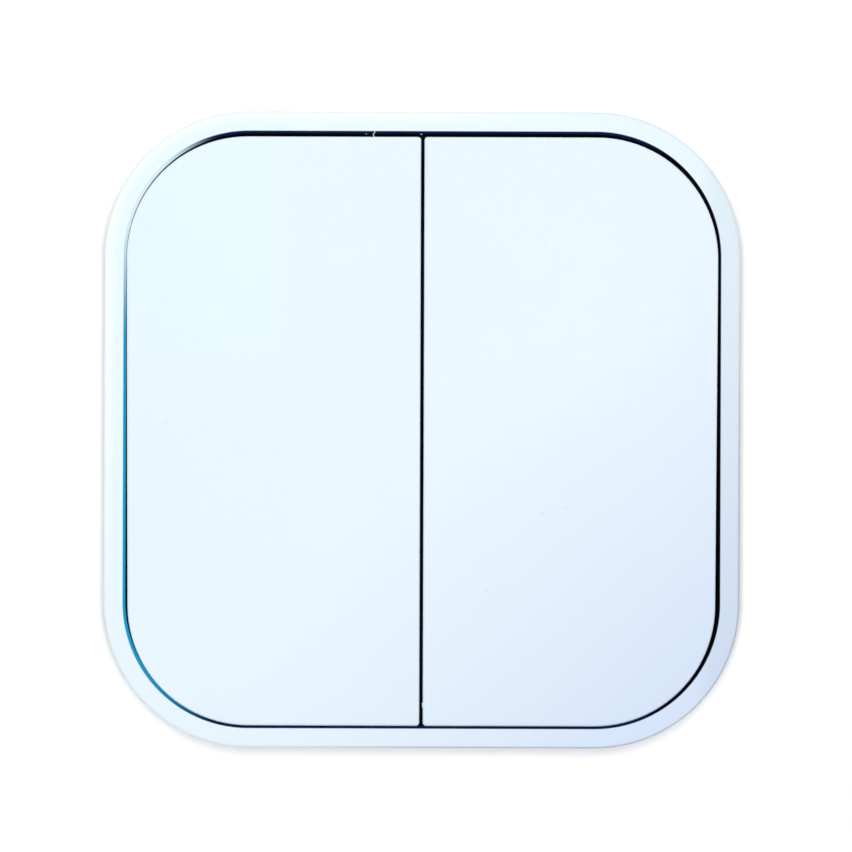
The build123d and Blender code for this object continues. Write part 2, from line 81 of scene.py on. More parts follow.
class Side(Enum):
    """The two switches, named as the viewer sees them."""

    LEFT = "left"
    RIGHT = "right"

    @property
    def rocker(self) -> str:
        """Name of this side's rocker."""
        return f"rocker_{self.value}"

    @property
    def sign(self) -> int:
        """-1 on the left and 1 on the right."""
        return 1 if self is Side.RIGHT else -1

    @property
    def plunger_body(self) -> str:
        """Name of the body that this side's plunger moves with."""
        return f"plunger_body_{self.value}"

    @property
    def rocker_body(self) -> str:
        """Name of the body that this side's rocker moves with."""
        return f"rocker_body_{self.value}"


class Slot(Enum):
    """The record's material slots."""

    PANEL = "panel_white"
    CRADLE = "cradle_white"
    TRAY = "tray_grey"
    HOUSING = "housing_grey"
    PLATE = "zinc_plate"
    STEEL = "screw_steel"
    BRASS = "brass"
    COPPER = "copper"
    SILVER = "silver"


@dataclass(frozen=True)
class Oval:
    """An upright oval on the face: its middle, and half its width and height."""

    x: float
    z: float
    half_x: float
    half_z: float


@dataclass(frozen=True)
class RoundedSquare:
    """A square with round corners about the middle of the face."""

    half: float
    corner: float

    def inset(self, distance: float) -> "RoundedSquare":
        """The square whose outline lies a distance further in all round."""
        return RoundedSquare(self.half - distance, self.corner - distance)

    def points(self, arc_points: int) -> Array:
        """Outline, anticlockwise from the right side's upper end.

        Each corner is an arc about (half - corner) along both axes, swept by a quarter turn, and
        the straight sides are what joins the arcs.

        Args:
            arc_points: Number of points in each corner.

        Returns:
            Points as rows of x and z.
        """
        quarter = np.linspace(0.0, np.pi / 2, arc_points)
        turn = np.arange(4)[:, None] * np.pi / 2
        angle = turn + quarter[None, :]
        middle = np.sqrt(2) * (self.half - self.corner)
        x = middle * np.cos(turn + np.pi / 4) + self.corner * np.cos(angle)
        z = middle * np.sin(turn + np.pi / 4) + self.corner * np.sin(angle)
        return np.stack([x, z], axis=-1).reshape(-1, 2)


def grid_faces(rows: int, columns: int, ring: bool) -> Array:
    """Quads of a grid of points, numbered row by row.

    A quad joins point (i, j) to (i, j + 1), (i + 1, j + 1) and (i + 1, j). In a ring the last
    column joins the first.

    Args:
        rows: Number of rows of points.
        columns: Number of points in a row.
        ring: Whether each row closes on itself.

    Returns:
        One row of four point numbers for each quad.
    """
    across = columns if ring else columns - 1
    i, j = np.meshgrid(np.arange(rows - 1), np.arange(across), indexing="ij")
    following = (j + 1) % columns
    quads = np.stack([i * columns + j, i * columns + following,
                      (i + 1) * columns + following, (i + 1) * columns + j], axis=-1)
    return quads.reshape(-1, 4)


def mesh_object(name: str, points: Array, faces: list[list[int]], finish: bpy.types.Material,
                smooth: bool = True) -> bpy.types.Object:
    """Make a mesh object from arrays, with its place in its points.

    Args:
        name: Name of the piece.
        points: Points in metres, one row each.
        faces: Point numbers of each face.
        finish: Material of the whole piece.
        smooth: Whether its faces shade smoothly.

    Returns:
        The new object, linked to the scene.
    """
    mesh = bpy.data.meshes.new(name)
    mesh.from_pydata(points.reshape(-1, 3).tolist(), [], faces)
    mesh.polygons.foreach_set("use_smooth", np.full(len(mesh.polygons), smooth))
    mesh.materials.append(finish)
    mesh.update()
    piece = bpy.data.objects.new(name, mesh)
    bpy.context.scene.collection.objects.link(piece)
    return piece


def swept_strand(name: str, centre: Array, radius: Array, guide: Point, sides: int,
                 finish: bpy.types.Material) -> bpy.types.Object:
    """Sweep a circle along a path of points and close both ends.

    A ring lies square to the path's run. Its first direction is the run times the guide, its second
    the run times the first, and a point on it is the centre plus the radius times
    (cosine of the angle, sine of the angle) along the two.

    Args:
        name: Name of the piece.
        centre: Points of the path in metres, one row each.
        radius: Radius of the strand at each point.
        guide: A direction that the path never runs along.
        sides: Number of points in a ring.
        finish: Material of the whole piece.

    Returns:
        The new object, linked to the scene.
    """
    run = np.gradient(centre, axis=0)
    run /= np.linalg.norm(run, axis=1, keepdims=True)
    first = np.cross(run, np.array(guide))
    first /= np.linalg.norm(first, axis=1, keepdims=True)
    second = np.cross(run, first)
    angle = np.linspace(0.0, 2 * np.pi, sides, endpoint=False)[None, :, None]
    ring = np.cos(angle) * first[:, None, :] + np.sin(angle) * second[:, None, :]
    points = centre[:, None, :] + radius[:, None, None] * ring
    start_cap = np.arange(sides)[::-1].tolist()
    end_cap = (np.arange(sides) + sides * (len(centre) - 1)).tolist()
    faces = grid_faces(len(centre), sides, ring=True).tolist() + [start_cap, end_cap]
    return mesh_object(name, points, faces, finish)


class Graph:
    """A node tree of one material, with short calls to add and join nodes."""

    def __init__(self, name: str) -> None:
        """Start a material with a surface shader, and the place on the piece as x, y and z.

        Args:
            name: Name of the material.
        """
        self.material = bpy.data.materials.new(name)
        self.material.use_nodes = True
        self.tree = self.material.node_tree
        self.tree.nodes.clear()
        output = self.add("ShaderNodeOutputMaterial")
        self.shader = self.add("ShaderNodeBsdfPrincipled")
        self.join(self.shader, "BSDF", output, "Surface")
        self.place = self.add("ShaderNodeTexCoord")
        split = self.add("ShaderNodeSeparateXYZ")
        self.join(self.place, "Object", split, "Vector")
        self.x, self.y, self.z = split.outputs

    def add(self, kind: str, **settings: str) -> bpy.types.Node:
        """Add a node.

        Args:
            kind: Type of the node.
            settings: Its properties, by name.

        Returns:
            The new node.
        """
        node = self.tree.nodes.new(kind)
        for key, value in settings.items():
            setattr(node, key, value)
        return node

    def join(self, source: bpy.types.Node, output: str, target: bpy.types.Node,
             socket: str) -> None:
        """Join an output of one node to an input of another."""
        self.tree.links.new(source.outputs[output], target.inputs[socket])

    def give(self, socket: Socket, value: Value | tuple[float, ...]) -> None:
        """Join a socket to another one, or set it to a plain value.

        Args:
            socket: The input.
            value: An output of another node, or a number or colour.
        """
        if isinstance(value, Socket):
            self.tree.links.new(value, socket)
        else:
            socket.default_value = value

    def put(self, name: str, value: Value | Color) -> None:
        """Give one of the surface shader's inputs a value or a colour."""
        self.give(self.shader.inputs[name], (*value, 1.0) if isinstance(value, tuple) else value)

    def math(self, operation: str, *values: Value) -> Socket:
        """Calculate with sockets and plain numbers.

        Args:
            operation: Name of the operation.
            values: What it works on, in order.

        Returns:
            The result's socket.
        """
        node = self.add("ShaderNodeMath", operation=operation)
        for socket, value in zip(node.inputs, values):
            self.give(socket, value)
        return node.outputs[0]

    def product(self, first: Value, *others: Value) -> Value:
        """Multiply values by each other.

        Args:
            first: The first value.
            others: What it is multiplied by, in order.

        Returns:
            The result's socket.
        """
        for other in others:
            first = self.math("MULTIPLY", first, other)
        return first

    def noise(self, scale: float, stretch: Point = (1.0, 1.0, 1.0), detail: float = 2.0,
              warp: float = 0.0) -> Socket:
        """Noise on Object coordinates.

        Args:
            scale: Features per metre.
            stretch: Further factor along each axis.
            detail: Number of finer layers.
            warp: How much the pattern swirls.

        Returns:
            The noise's value, about 0.5 on the whole.
        """
        mapping = self.add("ShaderNodeMapping")
        mapping.inputs["Scale"].default_value = stretch
        self.join(self.place, "Object", mapping, "Vector")
        texture = self.add("ShaderNodeTexNoise")
        texture.inputs["Scale"].default_value = scale
        texture.inputs["Detail"].default_value = detail
        texture.inputs["Distortion"].default_value = warp
        self.join(mapping, "Vector", texture, "Vector")
        return texture.outputs["Fac"]

    def mapped(self, value: Value, reach: Span, span: Span) -> Socket:
        """Map a value from one range to another, smoothly and held at both ends.

        Args:
            value: The value.
            reach: Input values at the two ends.
            span: Output values there.

        Returns:
            The result's socket.
        """
        node = self.add("ShaderNodeMapRange", interpolation_type="SMOOTHSTEP")
        for socket, number in zip(("From Min", "From Max", "To Min", "To Max"), (*reach, *span)):
            node.inputs[socket].default_value = number
        self.give(node.inputs["Value"], value)
        return node.outputs["Result"]

    def paint(self, share: Value, color: Color, layer: str = "Base Color") -> None:
        """Lay a colour over what the shader has so far, as thickly as the share says.

        Args:
            share: 0 where the surface stays as it is, and 1 where the colour covers it.
            color: The colour.
            layer: The shader's input: the base colour or the emission.
        """
        mix = self.add("ShaderNodeMix", data_type="RGBA")
        base = self.shader.inputs[layer]
        if base.is_linked:
            self.tree.links.new(base.links[0].from_socket, mix.inputs["A"])
        else:
            mix.inputs["A"].default_value = base.default_value
        mix.inputs["B"].default_value = (*color, 1.0)
        self.give(mix.inputs["Factor"], share)
        self.join(mix, "Result", self.shader, layer)

    def relief(self, height: Value, depth: float, strength: float) -> None:
        """Raise the surface, on top of any relief that it has.

        Args:
            height: Height as a share of the depth.
            depth: Depth of the relief in metres.
            strength: How fully it shows.
        """
        bump = self.add("ShaderNodeBump")
        bump.inputs["Strength"].default_value = strength
        bump.inputs["Distance"].default_value = depth
        self.give(bump.inputs["Height"], height)
        normal = self.shader.inputs["Normal"]
        if normal.is_linked:
            self.tree.links.new(normal.links[0].from_socket, bump.inputs["Normal"])
        self.join(bump, "Normal", self.shader, "Normal")

    def within(self, oval: Oval, edge: float) -> Socket:
        """Mask of an oval on the face: 1 inside and 0 outside of a soft edge.

        Its measure is the length of ((x - x0) / half width, (z - z0) / half height), 1 on the oval.

        Args:
            oval: The oval.
            edge: Half the edge's width, as a share of the oval.

        Returns:
            The mask's socket.
        """
        across = self.math("DIVIDE", self.math("SUBTRACT", self.x, oval.x), oval.half_x)
        along = self.math("DIVIDE", self.math("SUBTRACT", self.z, oval.z), oval.half_z)
        square = self.math("ADD", self.product(across, across), self.product(along, along))
        return self.mapped(self.math("SQRT", square), (1.0 - edge, 1.0 + edge), FALL)

    def beyond(self, outline: RoundedSquare) -> Socket:
        """Distance outside a rounded square, negative inside it.

        It is the distance from the nearest corner's middle, where each coordinate counts only past
        that middle, less the corner's radius.

        Args:
            outline: The rounded square.

        Returns:
            The distance's socket.
        """
        middle = outline.half - outline.corner
        past = [
            self.math("MAXIMUM", self.math("SUBTRACT", self.math("ABSOLUTE", axis), middle), 0.0)
            for axis in (self.x, self.z)
        ]
        square = self.math("ADD", *(self.product(value, value) for value in past))
        return self.math("SUBTRACT", self.math("SQRT", square), outline.corner)


def tinted(color: Color, factor: float) -> Color:
    """A colour made lighter or darker by a factor."""
    return tuple(min(1.0, channel * factor) for channel in color)


@dataclass(frozen=True)
class MouldedPlastic:
    """Injection-moulded plastic: a faint cloudiness in the colour, and a polished or grained skin.

    The roughness goes from the first value to the second, and the cloud is the change of tone.
    """

    name: str
    color: Color
    roughness: Span
    cloud: float = 0.02
    cloud_scale: float = 40.0
    grain_scale: float = 2500.0
    grain_depth: float = 0.00001
    grain_strength: float = 0.2
    ior: float = 1.46

    def graph(self) -> Graph:
        """Cloudy colour from a broad noise, skin and roughness from a fine one.

        Returns:
            The plain plastic's node tree.
        """
        graph = Graph(self.name)
        graph.put("Base Color", tinted(self.color, 1 - self.cloud))
        cloud = graph.noise(self.cloud_scale, detail=3.0)
        graph.paint(graph.mapped(cloud, NOISE_REACH, RISE), tinted(self.color, 1 + self.cloud))
        grain = graph.noise(self.grain_scale, detail=1.0)
        graph.put("Roughness", graph.mapped(grain, NOISE_REACH, self.roughness))
        graph.relief(grain, self.grain_depth, self.grain_strength)
        graph.put("IOR", self.ior)
        return graph

    def material(self) -> bpy.types.Material:
        """The finished material."""
        return self.graph().material


@dataclass(frozen=True)
class PanelPlastic(MouldedPlastic):
    """Polished white plastic with painted shade, a little deeper towards the panel's lower right."""

    # Painted shade: the light's fall-off towards the lower right corner, laid into the colour.
    shade_falloff_reach: Span = (0.0, 0.12)
    shade_falloff_share: float = 0.28
    shade_falloff_color: Color = (0.05, 0.13, 0.72)

    def graph(self) -> Graph:
        """The plain plastic, with painted shade that grows with x - z.

        Returns:
            The panel plastic's node tree.
        """
        graph = super().graph()
        # Painted shade that deepens towards the lower right corner.
        lower_right = graph.math("SUBTRACT", graph.x, graph.z)
        shade_falloff = graph.mapped(lower_right, self.shade_falloff_reach, (0.0, self.shade_falloff_share))
        graph.paint(shade_falloff, self.shade_falloff_color)
        return graph


PANEL_PLASTIC = PanelPlastic("polished_white", (0.77, 0.87, 0.93), (0.05, 0.07), cloud=0.004,
                             grain_depth=0.000001, grain_strength=0.02, ior=1.5)


@dataclass(frozen=True)
class CoverPlastic:
    """Polished cover frame: painted shade inside the opening, cool painted light on its left.

    Each tone has a colour and the two places in metres between which it comes in or goes out, and a
    faint one has the share that it reaches. The reach of the painted highlight and of the shaded
    edge is a distance beyond the panel's outline.
    """

    base: MouldedPlastic
    panel: RoundedSquare
    opening: RoundedSquare
    # Painted shade of the opening's wall, and the painted glow laid on it as emission.
    wall_edge: Span = (0.00002, 0.00012)
    dark: Color = (0.008, 0.012, 0.03)
    # Blue of the painted shade on the rim's right side, and of the painted glow at the wall's top
    # and bottom.
    blue: Color = (0.001, 0.010, 0.05)
    blue_reach: Span = (0.0370, 0.0400)
    cool: Color = (0.012, 0.30, 0.56)
    cool_reach: Span = (-0.0385, -0.0275)
    pale: Color = (0.70, 0.84, 0.90)
    pale_reach: Span = (-0.0360, -0.0280)
    pale_rise: Span = (0.012, 0.030)
    # Painted shade on the rim's right side.
    shade_reach: Span = (0.0365, 0.0400)
    shade_share: float = 0.08
    # Painted highlight along the rim's upper left edge.
    lit: Color = (0.98, 1.0, 1.0)
    lit_reach: Span = (-0.0018, -0.0003)
    lit_sides: Span = (0.010, 0.050)
    lit_share: float = 0.5
    # Painted shade on the lower right outer edge: its colour, reach, sides, depth and share.
    shaded_edge: Color = (0.16, 0.18, 0.22)
    shaded_edge_reach: Span = (-0.0003, -0.0001)
    shaded_edge_sides: Span = (0.020, 0.050)
    line_depth: Span = (-0.0088, -0.0084)
    shaded_edge_share: float = 0.45

    def material(self) -> bpy.types.Material:
        """Paint the rim's tones over the plain plastic, and the opening's wall over them.

        Returns:
            The finished material.
        """
        graph = self.base.graph()
        graph.material.name = "cover_white"
        self.paint_rim(graph)
        self.paint_wall(graph)
        return graph.material

    def paint_rim(self, graph: Graph) -> None:
        """Paint shade on the right and the lower right edge, and light on the upper left edge.

        The painted highlight grows with z - x and towards the panel's outline. The shaded edge grows
        with x - z, and it keeps to the outline and to the front.

        Args:
            graph: The cover's node tree.
        """
        # Painted shade: the rim's right side is darkened towards blue.
        shade = graph.mapped(graph.x, self.shade_reach, (0.0, self.shade_share))
        graph.paint(shade, self.blue)
        outside = graph.beyond(self.panel)
        upper_left = graph.math("SUBTRACT", graph.z, graph.x)
        # Painted highlight: the upper left edge, which faces the light, is lightened.
        light = graph.product(graph.mapped(upper_left, self.lit_sides, (0.0, self.lit_share)),
                              graph.mapped(outside, self.lit_reach, RISE))
        graph.paint(light, self.lit)
        # Painted shade: a darker strip on the lower right outer edge, away from the light.
        lower_right = graph.math("SUBTRACT", graph.x, graph.z)
        shaded_edge = graph.product(graph.mapped(lower_right, self.shaded_edge_sides, (0.0, self.shaded_edge_share)),
                             graph.mapped(graph.y, self.line_depth, FALL),
                             graph.mapped(outside, self.shaded_edge_reach, RISE))
        graph.paint(shaded_edge, self.shaded_edge)

    def paint_wall(self, graph: Graph) -> None:
        """Paint shade and light on the opening's wall.

        The shade darkens the wall. The light that the rockers throw on it is painted as emission,
        deep blue along the top and the bottom, teal on the left and pale in the upper left corner.

        Args:
            graph: The cover's node tree.
        """
        # Painted shade: the wall inside the opening is darkened to near black.
        wall = graph.mapped(graph.beyond(self.opening), self.wall_edge, FALL)
        graph.paint(wall, self.dark)
        graph.put("Emission Color", BLACK)
        graph.put("Emission Strength", 1.0)
        # Painted light: glowing colours on the wall stand in for the light that reaches it.
        ends = graph.mapped(graph.math("ABSOLUTE", graph.z), self.blue_reach, RISE)
        left = graph.mapped(graph.x, self.cool_reach, FALL)
        corner = graph.product(graph.mapped(graph.x, self.pale_reach, FALL),
                               graph.mapped(graph.z, self.pale_rise, RISE))
        for share, color in ((ends, self.blue), (left, self.cool), (corner, self.pale)):
            graph.paint(graph.product(wall, share), color, "Emission Color")


@dataclass(frozen=True)
class RockerPlastic:
    """Polished plastic of the rockers, with faint painted reflections and a few fine specks."""

    base: MouldedPlastic
    # Pale patches of painted reflection, where soft shapes reflect in the polished face.
    reflection_patches: tuple[Oval, ...] = (
        Oval(0.0213, 0.0280, 0.0060, 0.0045),
        Oval(0.0157, 0.0243, 0.0036, 0.0020),
        Oval(0.0260, 0.0135, 0.0110, 0.0062),
    )
    reflection_color: Color = (0.84, 0.92, 0.96)
    reflection_share: float = 0.17
    reflection_edge: float = 0.45
    reflection_streak_scale: float = 230.0
    reflection_streak_stretch: Point = (1.0, 1.0, 1.9)
    reflection_streak_warp: float = 1.2
    reflection_streak_reach: Span = (0.44, 0.70)
    specks: tuple[Oval, ...] = (
        Oval(0.0164, -0.0112, 0.00018, 0.00018),
        Oval(0.0194, -0.0104, 0.00015, 0.00020),
        Oval(0.0089, -0.0217, 0.00016, 0.00016),
        Oval(-0.0344, 0.0008, 0.00013, 0.00013),
    )
    speck_color: Color = (0.42, 0.44, 0.46)
    speck_share: float = 0.22
    speck_edge: float = 0.5

    def material(self) -> bpy.types.Material:
        """Paint the reflections, broken by a swirling noise, and the specks on the plain plastic.

        Returns:
            The finished material.
        """
        graph = self.base.graph()
        graph.material.name = "rocker_white"
        swirl = graph.noise(self.reflection_streak_scale, self.reflection_streak_stretch, detail=3.0,
                            warp=self.reflection_streak_warp)
        reflection_streaks = graph.mapped(swirl, self.reflection_streak_reach, (0.0, self.reflection_share))
        # Painted reflection: pale patches broken up by the swirling noise.
        for patch in self.reflection_patches:
            mask = graph.within(patch, self.reflection_edge)
            graph.paint(graph.product(mask, reflection_streaks), self.reflection_color)
        for speck in self.specks:
            mask = graph.within(speck, self.speck_edge)
            graph.paint(graph.product(mask, self.speck_share), self.speck_color)
        return graph.material


@dataclass(frozen=True)
class RolledMetal:
    """Rolled or pressed sheet: fine lines along one axis, changes of tone and a few scratches."""

    name: str
    color: Color
    stain: Color
    roughness: Span = (0.28, 0.42)
    stain_scale: float = 160.0
    stain_warp: float = 0.4
    stain_reach: Span = (0.42, 0.72)
    line_scale: float = 900.0
    line_stretch: Point = (1.0, 1.0, 14.0)
    line_depth: float = 0.000008
    line_strength: float = 0.35
    scratch_scale: float = 110.0
    scratch_stretch: Point = (6.0, 1.0, 1.0)
    scratch_warp: float = 2.0
    scratch_reach: Span = (0.66, 0.70)
    scratch_depth: float = 0.00001
    scratch_strength: float = 0.25

    def material(self) -> bpy.types.Material:
        """Tone from a broad noise towards the stain, lines and scratches in the relief.

        Returns:
            The finished material.
        """
        graph = Graph(self.name)
        graph.put("Base Color", self.color)
        tone = graph.noise(self.stain_scale, detail=4.0, warp=self.stain_warp)
        graph.paint(graph.mapped(tone, self.stain_reach, RISE), self.stain)
        lines = graph.noise(self.line_scale, self.line_stretch)
        graph.put("Roughness", graph.mapped(lines, NOISE_REACH, self.roughness))
        graph.relief(lines, self.line_depth, self.line_strength)
        swirl = graph.noise(self.scratch_scale, self.scratch_stretch, detail=3.0,
                            warp=self.scratch_warp)
        scratches = graph.mapped(swirl, self.scratch_reach, RISE)
        graph.relief(scratches, self.scratch_depth, self.scratch_strength)
        graph.put("Metallic", 1.0)
        return graph.material


@dataclass(frozen=True)
class PaintedBoard:
    """The white board that stands for the wall: matt, finely stippled and a little luminous.

    A darker band at the panel's left and right deepens the shadow that the light leaves there.
    """

    panel: RoundedSquare
    name: str = "board_white"
    color: Color = (0.87, 0.87, 0.87)
    glow: float = 0.10
    stipple: float = 0.01
    stipple_scale: float = 1800.0
    stipple_depth: float = 0.00001
    stipple_strength: float = 0.1
    # Painted shadow beside the panel's left and right sides.
    band: Color = (0.02, 0.02, 0.02)
    shadow_band_reach: Span = (0.0008, 0.0020)
    shadow_band_sides: Span = (0.026, 0.042)
    shadow_band_share: float = 0.32
    roughness: float = 0.85
    specular: float = 0.1

    def material(self) -> bpy.types.Material:
        """Matt white with a faint stipple, a glow and the darker band beside the panel.

        The band thins out away from the panel's outline and towards its top and bottom.

        Returns:
            The finished material.
        """
        graph = Graph(self.name)
        graph.put("Base Color", tinted(self.color, 1 - self.stipple))
        grain = graph.noise(self.stipple_scale)
        graph.paint(grain, tinted(self.color, 1 + self.stipple))
        # Painted shadow: the board is darkened beside the panel's sides.
        near = graph.mapped(graph.beyond(self.panel), self.shadow_band_reach, (self.shadow_band_share, 0.0))
        sides = graph.mapped(graph.math("ABSOLUTE", graph.z), self.shadow_band_sides, FALL)
        graph.paint(graph.product(near, sides), self.band)
        graph.relief(grain, self.stipple_depth, self.stipple_strength)
        graph.put("Roughness", self.roughness)
        graph.put("Specular IOR Level", self.specular)
        graph.put("Emission Color", WHITE)
        graph.put("Emission Strength", self.glow)
        return graph.material


FINISHES: dict[Slot, MouldedPlastic | RolledMetal] = {
    Slot.PANEL: PANEL_PLASTIC,
    Slot.CRADLE: MouldedPlastic("natural_white", (0.72, 0.73, 0.71), (0.38, 0.5), cloud=0.03),
    Slot.TRAY: MouldedPlastic("dark_tray", (0.006, 0.007, 0.008), (0.5, 0.62), cloud=0.1),
    Slot.HOUSING: MouldedPlastic("housing_grey", (0.045, 0.05, 0.055), (0.42, 0.55), cloud=0.08,
                                 grain_scale=1600.0, grain_depth=0.00002, grain_strength=0.5),
    Slot.PLATE: RolledMetal("bright_zinc", (0.66, 0.68, 0.70), (0.55, 0.58, 0.60)),
    Slot.STEEL: RolledMetal("screw_steel", (0.60, 0.60, 0.61), (0.516, 0.516, 0.5246),
                            roughness=(0.22, 0.36), line_scale=1600.0),
    Slot.BRASS: RolledMetal("pressed_brass", (0.72, 0.52, 0.22), (0.50, 0.34, 0.16)),
    Slot.COPPER: RolledMetal("pressed_copper", (0.76, 0.40, 0.26), (0.50, 0.25, 0.17)),
    Slot.SILVER: RolledMetal("silver_tip", (0.82, 0.81, 0.78), (0.62, 0.60, 0.55),
                             roughness=(0.24, 0.34)),
}


class Workshop:
    """The finishes, each made once, and the way they go on the CAD nodes."""

    def __init__(self) -> None:
        """Make every finish's material."""
        self.materials = {slot: finish.material() for slot, finish in FINISHES.items()}

    def dress(self, slot: Slot, *nodes: str) -> None:
        """Give CAD nodes the material of a slot."""
        self.coat(self.materials[slot], *nodes)

    def coat(self, material: bpy.types.Material, *nodes: str) -> None:
        """Give CAD nodes a material.

        Args:
            material: The material.
            nodes: Names of the nodes.
        """
        for name in nodes:
            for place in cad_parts[name].material_slots:
                place.material = material


@dataclass(frozen=True)
class Grit:
    """A tiny bit of fluff, flash or glint on the face: a closed strand along a few points.

    Its points and its greatest radius are in millimetres. The floor keeps its two ends from closing
    to a point.
    """

    name: str
    body: str
    path: tuple[Point, ...]
    radius: float
    floor: float = 0.0004
    steps: int = 25
    sides: int = 10
    guide: Point = (0.31, 0.83, 0.47)

    def build(self, finish: bpy.types.Material) -> None:
        """Sweep a circle along the path, full over most of it and thin at both ends.

        The path runs straight from point to point with the share t from 0 to 1. The radius is the
        greatest radius times the fourth root of 1 - (2 t - 1) squared, which is never less than the
        floor.

        Args:
            finish: Material of the strand.
        """
        knots = np.array(self.path) / MM_PER_M
        share = np.linspace(0.0, 1.0, self.steps)
        places = np.linspace(0.0, 1.0, len(knots))
        centre = np.stack([np.interp(share, places, column) for column in knots.T], axis=-1)
        swell = np.maximum(1.0 - (2.0 * share - 1.0) ** 2, self.floor) ** 0.25
        radius = swell * self.radius / MM_PER_M
        piece = swept_strand(self.name, centre, radius, self.guide, self.sides, finish)
        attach(piece, self.body)


GRITS = (
    Grit("fibre", BASE_BODY, ((-6.62, -9.0, 40.40), (-6.45, -10.2, 40.15), (-6.70, -11.4, 39.60),
                              (-6.33, -12.3, 38.95)), 0.055),
    Grit("fluff_dot", BASE_BODY, ((-7.72, -9.05, 39.95), (-7.60, -9.05, 39.95)), 0.07),
    Grit("flash_top", BASE_BODY, ((-0.30, -9.05, 39.92), (-0.10, -9.05, 39.92)), 0.07),
    Grit("burr_low", Side.RIGHT.rocker_body, ((0.20, -8.42, -36.9), (0.20, -8.42, -37.6)), 0.06),
    # The two strands on the rim's right side are placed where glints of light show, and stand in for
    # them.
    Grit("glint_upper", BASE_BODY, ((42.20, -9.01, -25.80), (42.24, -9.01, -26.35)), 0.06),
    Grit("glint_lower", BASE_BODY, ((41.98, -9.01, -27.60), (41.95, -9.01, -28.15)), 0.06),
)


@dataclass
class Cover:
    """The cover frame and the two rockers, the pieces that the viewer sees."""

    shop: Workshop
    panel: RoundedSquare
    rim_width: float = 0.0027

    def dress(self) -> None:
        """Polished white on the frame and on both rockers, and the grit that sits on them."""
        cover = CoverPlastic(PANEL_PLASTIC, self.panel, self.panel.inset(self.rim_width))
        self.shop.coat(cover.material(), "cover_frame")
        self.shop.coat(RockerPlastic(PANEL_PLASTIC).material(), *(side.rocker for side in Side))
        for grit in GRITS:
            grit.build(self.shop.materials[Slot.PANEL])


@dataclass
class Carrier:
    """Support frame, mounting plate and housing with their fasteners."""

    shop: Workshop

    def dress(self) -> None:
        """Dark tray, zinc plate, grey housing and steel screws."""
        self.shop.dress(Slot.TRAY, "support_frame")
        self.shop.dress(Slot.PLATE, "mounting_plate", "clamp_plates")
        self.shop.dress(Slot.HOUSING, "housing_base")
        self.shop.dress(Slot.STEEL, "terminal_screws")


@dataclass(frozen=True)
class Coil:
    """The plunger spring: a wire helix.

    Lengths are in millimetres. The two ends are heights above the rocker's pivot, along the axis
    that stands square to the rocker's face.
    """

    side: Side
    pivot: Point = (12.65, -2.2, 0.0)
    tilt_degrees: float = 3.0
    low: float = -9.555
    high: float = 5.975
    radius: float = 1.675
    wire_radius: float = 0.225
    turns: int = 7
    steps_per_turn: int = 28
    sides: int = 12

    def build(self, finish: bpy.types.Material) -> None:
        """Wind the wire in place of the CAD spring, which is hidden.

        With t from 0 to 1 the wire's centre is the pivot, plus the axis times the height
        low + t (high - low), plus the radius times the circle's point at the angle of t turns.

        Args:
            finish: Material of the wire.
        """
        tilt = np.radians(self.tilt_degrees)
        axis = np.array([0.0, -np.cos(tilt), -np.sin(tilt)])
        across = np.array([1.0, 0.0, 0.0])
        pivot = np.array([self.side.sign * self.pivot[0], *self.pivot[1:]])
        share = np.linspace(0.0, 1.0, self.turns * self.steps_per_turn + 1)[:, None]
        height = self.low + share * (self.high - self.low)
        angle = 2 * np.pi * self.turns * share
        circle = np.cos(angle) * across + np.sin(angle) * np.cross(axis, across)
        centre = (pivot + axis * height + self.radius * circle) / MM_PER_M
        wire = np.full(len(centre), self.wire_radius / MM_PER_M)
        name = f"spring_coil_{self.side.value}"
        piece = swept_strand(name, centre, wire, tuple(axis), self.sides, finish)
        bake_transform(piece)
        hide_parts(f"plunger_spring_{self.side.value}")


@dataclass
class Mechanism:
    """Cradle, plunger, spring, bridge, tips and contacts of one switch."""

    shop: Workshop
    side: Side

    def dress(self) -> None:
        """Plastic on the moving pieces, and the metals on what carries current."""
        name = self.side.value
        self.shop.dress(Slot.CRADLE, f"cradle_{name}", f"plunger_{name}")
        self.shop.dress(Slot.STEEL, f"plunger_spring_{name}")
        Coil(self.side).build(self.shop.materials[Slot.STEEL])
        self.shop.dress(Slot.COPPER, f"contact_bridge_{name}")
        self.shop.dress(Slot.SILVER, f"moving_tips_{name}", f"fixed_tips_{name}")
        contacts = (f"{place}_contact_{name}" for place in ("upper", "lower", "common"))
        self.shop.dress(Slot.BRASS, *contacts)


@dataclass(frozen=True)
class Board:
    """A thin white board in the wall's plane, cut out behind the switch so that its back shows.

    The panel overlaps the cut-out all round, with a hair of air behind it.
    """

    panel: RoundedSquare
    edge: RoundedSquare = RoundedSquare(0.15, 0.01)
    overlap: float = 0.0007
    thickness: float = 0.001
    gap: float = 0.00002
    arc_points: int = 17

    def build(self) -> None:
        """Carry the board's section round the cut-out: front, outer edge, back and inner edge.

        Each ring is a rounded square. The rings run from the cut-out's front edge to the outer edge
        and over it to the back, and the last joins the first: its point numbers wrap round.
        """
        inner = self.panel.inset(self.overlap).points(self.arc_points)
        outer = self.edge.points(self.arc_points)
        front, back = self.gap, self.gap + self.thickness
        rings = [(inner, front), (outer, front), (outer, back), (inner, back)]
        points = np.stack([np.insert(ring, 1, y, axis=1) for ring, y in rings])
        quads = grid_faces(len(rings) + 1, len(inner), ring=True)
        faces = quads[:, ::-1] % (len(rings) * len(inner))
        finish = PaintedBoard(self.panel).material()
        board = mesh_object("board", points, faces.tolist(), finish, smooth=False)


